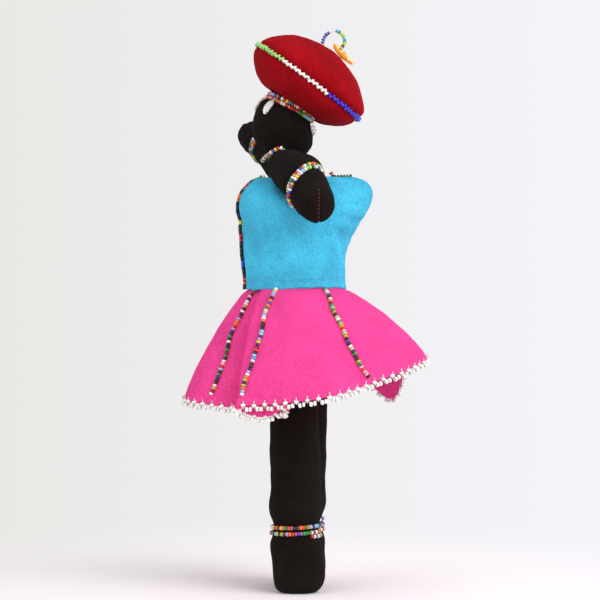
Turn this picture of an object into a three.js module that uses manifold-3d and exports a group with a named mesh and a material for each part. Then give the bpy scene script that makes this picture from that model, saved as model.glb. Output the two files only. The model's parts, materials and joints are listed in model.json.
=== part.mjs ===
// A handmade stuffed felt doll in glass seed beads: black felt body, domed red disc hat tilted back,
// turquoise bodice, flared pink skirt, bead headband, necklace, bracelets and anklets.
// Millimetres, +Z up. The doll faces -Y, its left hand is at +X, and its soles rest on Z = 0.

import * as THREE from "three";
import { mergeVertices } from "three/addons/utils/BufferGeometryUtils.js";
import Module from "manifold-3d";

const wasm = await Module();
wasm.setup();

// Driving dimensions.
const FELT = 1.2; // thickness of the felt
const GAP = 0.4; // clearance between neighbouring pieces
const BEAD_R = 1.05; // radius of a glass seed bead
const HAT_TILT = THREE.MathUtils.degToRad(33.3); // the hat's lean towards the back
const HAT_CENTRE = new THREE.Vector3(0, 1.75, 256.4);
const HAT_R = 30.4; // felt radius at the hat's rim seam
const HEAD_CENTRE = new THREE.Vector3(0, -10.75, 231.85);
const HEAD_R = 16;
const NECK = { y: -11, radius: 3.1, low: 201.6, high: 219.6 };
const NECK_HOLE_R = 5; // opening in the underside of the head
const NOD_PIVOT = new THREE.Vector3(0, NECK.y, 217);
const NOD_LIMIT = 10; // degrees, forwards and backwards
const WAIST_Z = 150.2;
const HIP_Z = 140;
const LEG_X = 13.2;
const SOLE_Y = -3.3;

// Each arm: its middle line from the shoulder's pivot to the middle of the hand, its thickness, and how
// far its neighbours leave it room to turn down (negative) and up (positive), in degrees.
const ARMS = {
  left: {
    line: [
      [10, -13, 210.8], [17, -10.6, 210.6], [25, -4.9, 206.2], [36, 0.7, 199.5], [46.5, 5.4, 192.4],
    ],
    thickness: 1.02,
    lowered: -4,
    raised: 20,
  },
  right: {
    line: [
      [-10, -13, 210.8], [-18.5, -12.5, 213.4], [-26.5, -15, 220.6], [-37, -21, 228.6], [-47, -27, 235.4],
    ],
    thickness: 0.93,
    lowered: -24,
    raised: 2,
  },
};

const COLOURS = {
  black_felt: 0x2a2420,
  red_felt: 0xb3121f,
  turquoise_felt: 0x42b9d6,
  pink_felt: 0xff4ba0,
  stuffing: 0xf0ece2,
  white_beads: 0xf4f1ea,
  mixed_beads: 0x3d5fb5,
  amber_glass: 0xf29a1f,
};

const group = new THREE.Group();
const vec = (x, y, z) => new THREE.Vector3(x, y, z);
const lerp = THREE.MathUtils.lerp;
const rad = THREE.MathUtils.degToRad;

function material(name) {
  const beads = name.endsWith("beads") || name.endsWith("glass");
  const roughness = beads ? 0.2 : 0.95;
  return new THREE.MeshStandardMaterial({ color: COLOURS[name], roughness, metalness: 0 });
}

function add(name, geometry, colour, parent = group) {
  const mesh = new THREE.Mesh(geometry, material(colour));
  mesh.name = name;
  parent.add(mesh);
  return mesh;
}

// ---- Geometry helpers -------------------------------------------------------------------------

// A closed surface of turned profile points [radius, height], with its axis along Z.
function turned(points, sides) {
  const profile = points.map(([r, h]) => new THREE.Vector2(r, h));
  return new THREE.LatheGeometry(profile, sides).rotateX(Math.PI / 2);
}

// Moves every vertex of a geometry by a function of its position.
function reshape(geometry, place) {
  const position = geometry.attributes.position;
  const p = vec();
  for (let i = 0; i < position.count; i += 1) {
    p.fromBufferAttribute(position, i);
    const q = place(p);
    position.setXYZ(i, q.x, q.y, q.z);
  }
  position.needsUpdate = true;
  return geometry;
}

// A smooth value between the given [position, value] pairs.
function table(pairs) {
  return (at) => {
    const last = pairs.length - 1;
    if (at <= pairs[0][0]) return pairs[0][1];
    if (at >= pairs[last][0]) return pairs[last][1];
    const k = pairs.findIndex(([x]) => x > at) - 1;
    return lerp(pairs[k][1], pairs[k + 1][1], (at - pairs[k][0]) / (pairs[k + 1][0] - pairs[k][0]));
  };
}

// Carries a turned geometry whose axis is Z onto a curve, so that height runs along the curve.
function alongCurve(geometry, curve) {
  const length = curve.getLength();
  return reshape(geometry, (p) => {
    const u = THREE.MathUtils.clamp(p.z / length, 0, 1);
    const tangent = curve.getTangentAt(u);
    const across = vec(0, 0, 1).cross(tangent).normalize();
    const over = tangent.clone().cross(across);
    return curve
      .getPointAt(u)
      .addScaledVector(tangent, p.z - u * length)
      .addScaledVector(across, p.x)
      .addScaledVector(over, p.y);
  });
}

// A tube around a closed path, given as a function from 0..1 to a point.
function closedTube(path, radius, steps, sides = 5) {
  const ring = new THREE.TorusGeometry(10, radius, sides, steps);
  return reshape(ring, (p) => {
    const around = Math.atan2(p.y, p.x) / (2 * Math.PI);
    const u = (around + 1) % 1;
    const here = path(u);
    const tangent = path((u + 0.002) % 1).sub(path((u + 0.998) % 1)).normalize();
    const over = vec(0, 0, 1).addScaledVector(tangent, -tangent.z).normalize();
    const out = tangent.clone().cross(over);
    return here.addScaledVector(out, Math.hypot(p.x, p.y) - 10).addScaledVector(over, p.z);
  });
}

// A tube along an open curve through the given points.
function openTube(points, radius, steps, sides = 5) {
  const shape = new THREE.Shape();
  for (let i = 0; i < sides; i += 1) {
    const a = (2 * Math.PI * i) / sides;
    const corner = [radius * Math.cos(a), radius * Math.sin(a)];
    if (i === 0) shape.moveTo(...corner);
    else shape.lineTo(...corner);
  }
  const path = new THREE.CatmullRomCurve3(points);
  return new THREE.ExtrudeGeometry(shape, { steps, extrudePath: path });
}

function merged(geometry) {
  const bare = geometry.clone();
  bare.deleteAttribute("normal");
  bare.deleteAttribute("uv");
  const joined = mergeVertices(bare, 1e-3);
  const index = [];
  for (let i = 0; i < joined.index.count; i += 3) {
    const [a, b, c] = [0, 1, 2].map((k) => joined.index.getX(i + k));
    if (a !== b && b !== c && c !== a) index.push(a, b, c);
  }
  joined.setIndex(index);
  return joined;
}

function solid(geometry) {
  const clean = merged(geometry);
  const mesh = new wasm.Mesh({
    numProp: 3,
    vertProperties: new Float32Array(clean.attributes.position.array),
    triVerts: new Uint32Array(clean.index.array),
  });
  mesh.merge();
  return new wasm.Manifold(mesh);
}

function surface(manifold) {
  const mesh = manifold.getMesh();
  const geometry = new THREE.BufferGeometry();
  geometry.setAttribute("position", new THREE.BufferAttribute(new Float32Array(mesh.vertProperties), 3));
  geometry.setIndex(new THREE.BufferAttribute(new Uint32Array(mesh.triVerts), 1));
  geometry.computeVertexNormals();
  return geometry;
}

function without(geometry, cutters) {
  return surface(cutters.reduce((left, cutter) => left.subtract(solid(cutter)), solid(geometry)));
}

function common(geometry, keeper) {
  return surface(solid(geometry).intersect(solid(keeper)));
}

// ---- Arms -------------------------------------------------------------------------------------

// Radius along the arm, from the rounded root to the squared hand.
const ARM_PROFILE = [
  [0, -5], [3.5, -3.6], [5, -0.2], [7.2, 4], [9, 8], [10.4, 13], [11, 20], [11, 30], [10.6, 38],
  [10, 44], [8.9, 48.2], [6.2, 50.6], [0, 51.4],
];
const ARM_SIDES = 16;

const armCurve = (side) => new THREE.CatmullRomCurve3(ARMS[side].line.map((p) => vec(...p)));

// The arm's skin at a distance outside (or, when negative, inside) its felt.
function armForm(side, outside) {
  const thick = ARMS[side].thickness;
  const points = ARM_PROFILE.map(([r, h]) => {
    const end = r === 0 ? Math.sign(h) : 0;
    return [r === 0 ? 0 : r * thick + outside, h + end * outside];
  });
  return alongCurve(turned(points, ARM_SIDES), armCurve(side));
}

// The felt is open at the root, where it was stuffed.
function armFelt(side) {
  const thick = ARMS[side].thickness;
  const outer = ARM_PROFILE.slice(1).map(([r, h]) => [r * thick, h]);
  const inner = ARM_PROFILE.slice(2).map(([r, h]) => [
    Math.max(r * thick - FELT, 0),
    h - (r < 9 && h > 40 ? FELT : 0),
  ]);
  inner.unshift([2.2, -3.6]);
  return alongCurve(turned([...inner.reverse(), ...outer], ARM_SIDES), armCurve(side));
}

// The shoulder's hinge axis: level and square to the arm, so that a positive turn raises the hand.
function shoulderAxis(side) {
  const { line } = ARMS[side];
  const reach = vec(...line.at(-1)).sub(vec(...line[0]));
  return vec(reach.y, -reach.x, 0).normalize();
}

function turnAbout(geometry, pivot, axis, degrees) {
  const turn = new THREE.Matrix4().makeRotationAxis(axis, rad(degrees));
  const back = new THREE.Matrix4().makeTranslation(-pivot.x, -pivot.y, -pivot.z);
  const forth = new THREE.Matrix4().makeTranslation(pivot.x, pivot.y, pivot.z);
  return geometry.applyMatrix4(forth.multiply(turn).multiply(back));
}

// Balls that stand for the head and the necklace below it, as the raised arm meets them.
function headBalls(side) {
  const pivot = vec(...ARMS[side].line[0]);
  const clear = HEAD_R + 2 * BEAD_R + 2 * GAP;
  const balls = [];
  for (const angle of [0, ARMS[side].raised / 2, ARMS[side].raised]) {
    for (const nod of [-NOD_LIMIT, 0, NOD_LIMIT]) {
      const centre = HEAD_CENTRE.clone().sub(NOD_PIVOT).applyAxisAngle(vec(1, 0, 0), rad(nod)).add(NOD_PIVOT);
      const radius = nod === 0 ? clear : HEAD_R + GAP + 0.2;
      const ball = new THREE.SphereGeometry(radius, 18, 12).translate(...centre.toArray());
      balls.push(turnAbout(ball, pivot, shoulderAxis(side), -angle));
    }
  }
  return balls;
}

function buildArm(side) {
  const balls = headBalls(side);
  add(`${side}_arm_felt`, without(armFelt(side), balls), "black_felt");
  const filling = ARM_PROFILE.slice(2).map(([r, h]) => [
    Math.max(r * ARMS[side].thickness - FELT - GAP, 0),
    h - (r < 9 && h > 40 ? FELT + GAP : 0),
  ]);
  filling.unshift([0, filling[0][1]]);
  const dents = balls.map((ball) => {
    ball.computeBoundingSphere();
    const { center } = ball.boundingSphere;
    const grown = new THREE.SphereGeometry(ball.boundingSphere.radius + FELT + GAP, 18, 12);
    return grown.translate(center.x, center.y, center.z);
  });
  add(`${side}_arm_stuffing`, without(alongCurve(turned(filling, 12), armCurve(side)), dents), "stuffing");

  const curve = armCurve(side);
  const wristAt = 39 / curve.getLength();
  const centre = curve.getPointAt(wristAt);
  const tangent = curve.getTangentAt(wristAt);
  const across = vec(0, 0, 1).cross(tangent).normalize();
  const over = tangent.clone().cross(across);
  const radius = 10.6 * ARMS[side].thickness + BEAD_R + GAP;
  const section = [[-1, -2.1], [1, -2.1], [1, 2.1], [-1, 2.1], [-1, -2.1]];
  const band = turned(section.map(([r, h]) => [radius + r, h]), 26);
  const bracelet = reshape(band, (p) => centre.clone()
    .addScaledVector(tangent, p.z).addScaledVector(across, p.x).addScaledVector(over, p.y));
  add(`${side}_bracelet`, bracelet, "mixed_beads");
}

// ---- Legs -------------------------------------------------------------------------------------

const ANKLE_R = 10.5; // the felt is drawn in under the anklet

// The leg from its flat sole, past the drawn-in ankle, to the round top in the hip.
const LEG_PROFILE = [
  [0, 0], [8.6, 0], [11.3, 1.4], [12.6, 4.6], [13, 10], [12.9, 19], [12.4, 24.6], [ANKLE_R, 28],
  [ANKLE_R, 34.6], [12.2, 38.4], [12.9, 50], [12.9, 80], [12.6, 120], [12.4, HIP_Z], [11.3, 145.2],
  [8.6, 149], [4.6, 151.6],
];
const HIP_Y = { left: -6.6, right: 0.4 };
const LEG_SIDES = 14;

const legShift = (side, z) => lerp(SOLE_Y, HIP_Y[side], z / HIP_Z);

function leanLeg(geometry, side) {
  const x = side === "left" ? LEG_X : -LEG_X;
  return reshape(geometry, (p) => vec(p.x + x, p.y + legShift(side, p.z), p.z));
}

function buildLeg(side) {
  const inner = LEG_PROFILE.slice(1).map(([r, h], i) => [r - FELT, i < 1 ? h + FELT : h]);
  inner.unshift([0, FELT]);
  const felt = turned([...LEG_PROFILE, ...inner.reverse()], LEG_SIDES);
  add(`${side}_leg_felt`, leanLeg(felt, side), "black_felt");

  const filling = LEG_PROFILE.slice(3).map(([r, h]) => [r - FELT - GAP, h]);
  filling.unshift([0, FELT + GAP], [8.4, FELT + GAP]);
  filling.push([0, filling.at(-1)[1]]);
  add(`${side}_leg_stuffing`, leanLeg(turned(filling, 12), side), "stuffing");

  // One strand wound a little over twice round the ankle, climbing as it goes.
  const strand = [];
  const windings = 2.2;
  const points = 40;
  for (let i = 0; i <= points; i += 1) {
    const around = (2 * Math.PI * windings * i) / points + 0.5;
    const radius = ANKLE_R + BEAD_R + GAP;
    const z = 28.6 + 5.4 * (i / points);
    strand.push(vec(radius * Math.cos(around), radius * Math.sin(around), z));
  }
  add(`${side}_anklet`, leanLeg(openTube(strand, BEAD_R, 52), side), "mixed_beads");
}

// ---- Torso, bodice and neck -------------------------------------------------------------------

// Sections of the bodice by height: the front and back reach along Y, and half the width along X.
const BODICE = [
  { z: WAIST_Z + 0.4, front: -29.5, back: 20.8, half: 27.5 },
  { z: 158, front: -30.3, back: 20.7, half: 28.2 },
  { z: 168, front: -31, back: 21.4, half: 28.8 },
  { z: 176, front: -31, back: 24.2, half: 29.2 },
  { z: 183, front: -31.6, back: 28.4, half: 29.4 },
  { z: 189, front: -32.8, back: 32, half: 29 },
  { z: 195, front: -33.4, back: 33.7, half: 27.4 },
  { z: 200, front: -31.6, back: 33.2, half: 23.6 },
  { z: 204, front: -28, back: 31.2, half: 17 },
  { z: 206.6, front: -23.5, back: 27.6, half: 8 },
];
const BODICE_TOP = 207.6;
const depth = table(BODICE.map((s) => [s.z, (s.back - s.front) / 2]));
const middle = table(BODICE.map((s) => [s.z, (s.back + s.front) / 2]));
const flatness = table(BODICE.map((s) => [s.z, (2 * s.half) / (s.back - s.front)]));

// Round sections become the bodice's ovals.
const oval = (geometry) => reshape(geometry, (p) => vec(p.x * flatness(p.z), p.y + middle(p.z), p.z));

function armsBelow(outside) {
  const cutters = [];
  for (const [side, { line, lowered }] of Object.entries(ARMS)) {
    const turns = side === "left" ? [lowered, 0, 8] : [lowered, lowered / 2, 0];
    for (const angle of turns) {
      cutters.push(turnAbout(armForm(side, outside), vec(...line[0]), shoulderAxis(side), angle));
    }
  }
  return cutters;
}

function buildBodice() {
  const outer = BODICE.map(({ z }) => [depth(z), z]);
  const inner = outer.map(([r, z]) => [r - FELT, z]).filter(([, z]) => z < 206);
  const shell = oval(turned([[0, 205.2], ...inner.reverse(), ...outer, [0, BODICE_TOP]], 28));
  const neckHole = new THREE.CylinderGeometry(NECK.radius + 2 * GAP, NECK.radius + 2 * GAP, 20, 12)
    .rotateX(Math.PI / 2).translate(0, NECK.y, 205);
  const whole = without(shell, [neckHole, ...armsBelow(GAP)]);
  for (const [side, x] of [["left", 1], ["right", -1]]) {
    const half = new THREE.BoxGeometry(60, 90, 90).translate(x * (30 + GAP / 2), 0, 180);
    add(`bodice_${side}_panel`, common(whole, half), "turquoise_felt");
  }
}

function buildTorso() {
  const skin = [
    [0, 153.2], [20, 153.6], [23.2, 156.5], [23.4, 165], [24, 173], [25.6, 181], [26, 186], [22, 191.5],
    [12, 195.5], [4, 197],
  ];
  const inner = skin.slice(1).map(([r, z], i) => [
    Math.max(r - FELT, 2.4),
    z + (i < 1 ? FELT : 0) - (i > 5 ? FELT : 0),
  ]);
  const felt = turned([...skin, ...inner.reverse(), [0, 154.6]], 18);
  const filling = [
    [0, 155.2], [18, 155.4], [21.2, 158], [21.4, 165], [22, 173], [23.4, 181], [23.4, 185], [19.4, 189.6],
    [10, 193], [0, 194],
  ];
  // The sides stay low, so that the arms keep their room.
  const slim = (geometry) => reshape(oval(geometry), (p) => vec(p.x * 0.96, p.y, p.z));
  const arms = armsBelow(2 * GAP + FELT);
  add("torso_felt", without(slim(felt), arms), "black_felt");
  add("torso_stuffing", without(slim(turned(filling, 12)), armsBelow(3 * GAP + 2 * FELT)), "stuffing");

  const post = [[0, NECK.low - 3], [7, NECK.low - 3], [6.4, NECK.low], [NECK.radius, NECK.low + 2],
    [NECK.radius, NECK.high - 0.6], [2.2, NECK.high], [0, NECK.high]];
  add("neck_felt_roll", without(turned(post, 14).translate(0, NECK.y, 0), arms), "black_felt");
}

// ---- Skirt ------------------------------------------------------------------------------------

const SKIRT = {
  waist: { front: -29.7, back: 21.2, half: 28 },
  hem: { front: -61, back: 60.6, half: 54 },
};

// Height of the hem: it dips beside the front, and rises at the very front and towards the back.
function hemHeight(turn) {
  const back = Math.sin(turn);
  const rise = 8.8 * back + 4.2 * Math.max(0, back) ** 2 + 6 * Math.max(0, -back) ** 4;
  return 101.9 + rise - 5.2 * Math.cos(turn) ** 2;
}

// A place on the skirt's outside: turn 0 is +X, a quarter turn +Y; drop 0 is the waist, 1 the hem.
function skirtPoint(turn, drop) {
  const ellipse = ({ front, back, half }) => vec(
    half * Math.cos(turn),
    (front + back) / 2 + ((back - front) / 2) * Math.sin(turn),
    0,
  );
  const flare = drop * (1 + (0.41 + 0.15 * Math.sin(turn)) * (1 - drop));
  const ripple = 1.3 * drop * drop * Math.sin(6 * turn + 0.6);
  const point = ellipse(SKIRT.waist).lerp(ellipse(SKIRT.hem), flare);
  point.addScaledVector(vec(Math.cos(turn), Math.sin(turn), 0), ripple);
  point.z = lerp(WAIST_Z, hemHeight(turn), drop);
  return point;
}

function skirtOutward(turn, drop) {
  const step = 0.02;
  const along = skirtPoint(turn + step, drop).sub(skirtPoint(turn - step, drop));
  const down = skirtPoint(turn, Math.min(drop + step, 1)).sub(skirtPoint(turn, Math.max(drop - step, 0)));
  return down.cross(along).normalize();
}

function onSkirt(turn, drop, lift) {
  return skirtPoint(turn, drop).addScaledVector(skirtOutward(turn, drop), lift);
}

function buildSkirt() {
  const unit = 10;
  const heights = [0, 0.15, 0.32, 0.5, 0.68, 0.85, 1];
  const outer = heights.map((h) => [unit, -h * unit]);
  const inner = heights.map((h) => [unit - FELT, -h * unit]);
  const sheet = turned([...outer.reverse(), ...inner, outer[0]], 42);
  const skirt = reshape(sheet, (p) => {
    const lift = Math.hypot(p.x, p.y) - unit;
    return onSkirt(Math.atan2(p.y, p.x), -p.z / unit, lift);
  });
  add("skirt_felt", skirt, "pink_felt");

  const edge = (u) => {
    const turn = u * 2 * Math.PI;
    return onSkirt(turn, 1, -FELT / 2).add(vec(0, 0, -BEAD_R - 0.9));
  };
  add("skirt_hem_picot", closedTube(edge, BEAD_R, 60, 4), "white_beads");
}

// The bead strings on the skirt: their turn at the waist and at the hem, in degrees from +X.
const STRINGS = { front: [-62, -48], side: [-19.5, -31.5], back: [31, 34] };

function buildStrings() {
  for (const [place, [top, bottom]] of Object.entries(STRINGS)) {
    for (const side of ["left", "right"]) {
      const points = [];
      for (let i = 0; i <= 6; i += 1) {
        const drop = lerp(0.03, 0.955, i / 6);
        const turn = rad(lerp(top, bottom, drop));
        points.push(onSkirt(side === "left" ? turn : Math.PI - turn, drop, BEAD_R + GAP));
      }
      add(`skirt_string_${place}_${side}`, openTube(points, BEAD_R, 14), "mixed_beads");
    }
  }
}

function buildBodiceTrims() {
  const lift = BEAD_R + GAP;
  const frontEdge = BODICE.filter(({ z }) => z > WAIST_Z + 1 && z < 206)
    .map(({ z, front }) => vec(0, front - lift, z));
  frontEdge.unshift(vec(0, -31.2, WAIST_Z + 2));
  frontEdge.push(vec(0, -24, 207.8), vec(0, -20.5, 209.3));
  add("bodice_front_beads", openTube(frontEdge, BEAD_R, 26), "mixed_beads");

  const backEdge = [vec(0, 11.5, 209.2), vec(0, 19, 209), vec(0, 26.6, 208.4)];
  add("bodice_back_beads", openTube(backEdge, BEAD_R, 6), "mixed_beads");
}

function buildNecklace() {
  const ring = (u) => {
    const turn = u * 2 * Math.PI;
    const side = Math.cos(turn) ** 2;
    const forward = -Math.sin(turn);
    const reach = forward > 0 ? 12.4 : 12;
    return vec(13.4 * Math.cos(turn), -12 - reach * forward, lerp(214.6 + 0.4 * forward, 220.4, side));
  };
  add("necklace", closedTube(ring, BEAD_R, 36), "mixed_beads");
}

// ---- Head and hat -----------------------------------------------------------------------------

// The head is turned about an axis that leans with the hat, and its crown slides over to sit in the hat.
const HEAD_PROFILE = [
  [0, -15.8], [5, -15.1], [9.6, -12.8], [13.1, -9.1], [15.3, -4.4], [HEAD_R, 0.5], [15.3, 4], [13.9, 6.2],
  [12.2, 7.5], [11.7, 9], [11.6, 11], [11.4, 12.6], [9.4, 13.6], [0, 14],
];
const crownSlide = table([[-16, 0], [0, -0.6], [8, -2.9], [16, -3.03]]);

const headGroup = new THREE.Group();
headGroup.position.copy(HEAD_CENTRE);
headGroup.rotation.x = -HAT_TILT;
group.add(headGroup);

const slideCrown = (geometry) => reshape(geometry, (p) => vec(p.x, p.y + crownSlide(p.z), p.z));
const headRadius = table(HEAD_PROFILE.slice(1, -1).map(([r, h]) => [h, r]));

// A place on the head's surface: turn 0 is the back, a quarter turn the doll's left.
function onHead(turn, height, lift) {
  const r = headRadius(height) + lift;
  return vec(r * Math.sin(turn), r * Math.cos(turn) + crownSlide(height), height);
}

function buildHead() {
  const inner = HEAD_PROFILE.map(([r, h]) => [
    Math.max(r - FELT, 0),
    h + (r < 11 ? -Math.sign(h) * FELT : 0),
  ]);
  const skin = slideCrown(turned(HEAD_PROFILE, 22));
  const hollow = slideCrown(turned(inner, 16));
  const neckway = new THREE.CylinderGeometry(NECK_HOLE_R, NECK_HOLE_R, 12, 14)
    .rotateX(Math.PI / 2 + HAT_TILT);
  const below = vec(0, NECK.y, NECK.high - 3.4).sub(HEAD_CENTRE).applyAxisAngle(vec(1, 0, 0), HAT_TILT);
  neckway.translate(...below.toArray());
  add("head_felt", without(skin, [hollow, neckway]), "black_felt", headGroup);

  const filling = HEAD_PROFILE.map(([r, h]) => [
    Math.max(r - FELT - GAP, 0),
    h + (r < 11.5 ? -Math.sign(h) * (FELT + GAP) : 0),
  ]);
  add("head_stuffing", without(slideCrown(turned(filling, 14)), [neckway]), "stuffing", headGroup);

  for (const [name, height] of [["headband_lower_row", 8.1], ["headband_upper_row", 10.2]]) {
    const radius = headRadius(height) + BEAD_R + GAP;
    const band = (u) => vec(
      radius * Math.cos(u * 2 * Math.PI),
      radius * Math.sin(u * 2 * Math.PI) + crownSlide(height),
      height,
    );
    add(name, closedTube(band, BEAD_R, 30), "mixed_beads", headGroup);
  }

  const ovals = [
    ["left_eye_beads", 180 - 53, 3.4, 1.6, 3.1],
    ["right_eye_beads", 180 + 13, 3.4, 1.6, 3.1],
    ["headband_tie_loop", 0, 4.4, 1.5, 2.1],
  ];
  for (const [name, turn, height, half, tall] of ovals) {
    const loop = (u) => {
      const a = u * 2 * Math.PI;
      const h = height + tall * Math.sin(a);
      return onHead(rad(turn) - (half * Math.cos(a)) / HEAD_R, h, 0.85 + GAP);
    };
    add(name, ovalRing(loop, 0.85), "white_beads", headGroup);
  }
}

// A ring whose path stands upright on the head, so it is carried on its own plane's normal.
function ovalRing(path, radius) {
  const steps = 14;
  const middlePoint = vec(0, 0, 0);
  for (let i = 0; i < steps; i += 1) middlePoint.addScaledVector(path(i / steps), 1 / steps);
  const ring = new THREE.TorusGeometry(10, radius, 5, steps);
  const normal = path(0).sub(middlePoint).cross(path(0.25).sub(middlePoint)).normalize();
  return reshape(ring, (p) => {
    const u = (Math.atan2(p.y, p.x) / (2 * Math.PI) + 1) % 1;
    const out = path(u).sub(middlePoint);
    out.addScaledVector(normal, -out.dot(normal)).normalize();
    return path(u).addScaledVector(out, Math.hypot(p.x, p.y) - 10).addScaledVector(normal, p.z);
  });
}

const hatGroup = new THREE.Group();
hatGroup.position.copy(HAT_CENTRE);
hatGroup.rotation.x = -HAT_TILT;
group.add(hatGroup);

const CROWN = [
  [HAT_R, 0.2], [28.9, 3.6], [26, 7.2], [22, 10.8], [17, 13.8], [11, 16], [5, 17.1], [0, 17.4],
];
const UNDER = [
  [13.4, -15.6], [17, -15.6], [20.6, -14.4], [24.2, -11.8], [27.4, -7.6], [29.4, -3.8], [HAT_R, -0.2],
];

function buildHat() {
  const liningUp = CROWN.map(([r, h]) => [
    Math.max(r - FELT, 0),
    h - (r < 27 ? 1 : 0) - (h > 17.3 ? 0.2 : 0),
  ]);
  const crown = turned([...liningUp.reverse(), ...CROWN], 30);
  add("hat_crown_felt", crown, "red_felt", hatGroup);

  const liningDown = UNDER.map(([r, h]) => [r > 14 ? r - FELT * 0.8 : r, h + (r < 27 ? 1.1 : 0)]);
  const under = turned([...UNDER, ...liningDown.reverse(), UNDER[0]], 30);
  add("hat_underside_felt", under, "red_felt", hatGroup);

  const filling = [
    [0, -12.4], [11, -12.6], [19, -12.4], [22.6, -10], [26, -5.8], [28, -2], [28.2, 1.6], [25.8, 4.6],
    [21.6, 8.2], [16, 11.4], [9, 14], [0, 15],
  ];
  add("hat_stuffing", turned(filling, 16), "stuffing", hatGroup);

  const rim = (u) => vec(
    (HAT_R + BEAD_R + GAP) * Math.cos(u * 2 * Math.PI),
    (HAT_R + BEAD_R + GAP) * Math.sin(u * 2 * Math.PI),
    0,
  );
  add("hat_rim_beads", closedTube(rim, BEAD_R, 48), "mixed_beads", hatGroup);
}

// The flat flower bead lies on the crown behind the hanging loop, held by one stitched seed bead.
const FLOWER = { y: 7.6, z: 17.1, lean: rad(-12), radius: 6.6, thick: 2.2, hole: 1.2 };
const LOOP_FEET = { front: vec(0, -3.4, 18.5), back: vec(0, 4.4, 21.2) };

function buildHatOrnaments() {
  const flower = new THREE.Shape();
  const petals = 5;
  const points = 30;
  for (let i = 0; i < points; i += 1) {
    const a = (2 * Math.PI * i) / points;
    const r = FLOWER.radius * (0.72 + 0.28 * Math.cos(petals * a));
    if (i === 0) flower.moveTo(r, 0);
    else flower.lineTo(r * Math.cos(a), r * Math.sin(a));
  }
  const hole = new THREE.Path();
  hole.absarc(0, 0, FLOWER.hole, 0, 2 * Math.PI, true);
  flower.holes.push(hole);
  const blank = new THREE.ExtrudeGeometry(flower, {
    depth: FLOWER.thick,
    bevelEnabled: false,
    curveSegments: 5,
  });
  const ornament = new THREE.Group();
  ornament.position.set(0, FLOWER.y, FLOWER.z);
  ornament.rotation.x = FLOWER.lean;
  hatGroup.add(ornament);
  add("hat_flower_bead", blank.translate(0, 0, 0.9), "amber_glass", ornament);

  const stitch = turned([[0, 0.1], [0.6, 0.1], [0.6, 3.6], [1.5, 3.8], [1.5, 4.8], [0.9, 5.4], [0, 5.4]], 10);
  add("hat_flower_stitch", stitch, "mixed_beads", ornament);

  const loop = [
    LOOP_FEET.front, vec(0, -4.6, 21.5), vec(0, -4.4, 24.6), vec(0, -2.2, 27), vec(0, 1.2, 27.4),
    vec(0, 4, 26), vec(0, 5, 23.6), LOOP_FEET.back,
  ];
  add("hat_hanging_loop", openTube(loop, 1, 18), "mixed_beads", hatGroup);
}

for (const side of ["left", "right"]) {
  buildArm(side);
  buildLeg(side);
}
buildTorso();
buildBodice();
buildBodiceTrims();
buildSkirt();
buildStrings();
buildNecklace();
buildHead();
buildHat();
buildHatOrnaments();

export default group;
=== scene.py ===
"""The looks of a handmade stuffed felt doll in glass seed beads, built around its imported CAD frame.

The doll faces -Y, its left hand is at +X, and its soles rest on Z = 0. Lengths in this script are in
millimetres, and are scaled to metres where a mesh is made.
"""

import json
import math
import random

import bmesh
import bpy
import numpy as np
from mathutils import Matrix, Vector, noise
from mathutils.bvhtree import BVHTree


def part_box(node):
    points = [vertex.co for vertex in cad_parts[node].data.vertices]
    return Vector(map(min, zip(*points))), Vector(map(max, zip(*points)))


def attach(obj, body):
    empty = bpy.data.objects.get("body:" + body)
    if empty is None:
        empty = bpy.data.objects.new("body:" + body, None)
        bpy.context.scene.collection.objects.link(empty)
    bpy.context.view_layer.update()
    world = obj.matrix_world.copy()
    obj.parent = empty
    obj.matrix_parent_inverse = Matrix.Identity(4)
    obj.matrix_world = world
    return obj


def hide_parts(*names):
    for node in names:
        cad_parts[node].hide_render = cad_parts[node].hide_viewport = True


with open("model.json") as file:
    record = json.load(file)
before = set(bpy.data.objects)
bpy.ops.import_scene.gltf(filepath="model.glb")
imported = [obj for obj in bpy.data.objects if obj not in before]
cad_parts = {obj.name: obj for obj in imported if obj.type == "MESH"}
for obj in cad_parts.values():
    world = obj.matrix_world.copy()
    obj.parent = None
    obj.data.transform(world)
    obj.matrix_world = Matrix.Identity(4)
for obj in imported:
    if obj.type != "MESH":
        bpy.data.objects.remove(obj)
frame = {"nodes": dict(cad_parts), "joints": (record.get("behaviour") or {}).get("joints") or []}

MM = 0.001
UP = Vector((0, 0, 1))
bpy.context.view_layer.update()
rng = random.Random(7)

BEAD_R = 1.08  # outer radius of a seed bead
BEAD_LENGTH = 1.42  # a bead's length along its thread
THREAD_R = 0.16
FELT = 1.2  # thickness of the felt
RIPPLE_SEED = Vector((3.1, 7.7, 1.3))

FELTS = {  # colour, sheen, and how strongly the dye and fibres vary
    "black": ("#1d1613", 0.16, 0.36),
    "red": ("#ad0c18", 0.05, 0.26),
    "turquoise": ("#54d5fd", 0.1, 0.28),
    "pink": ("#ff50a6", 0.1, 0.18),
}
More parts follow.
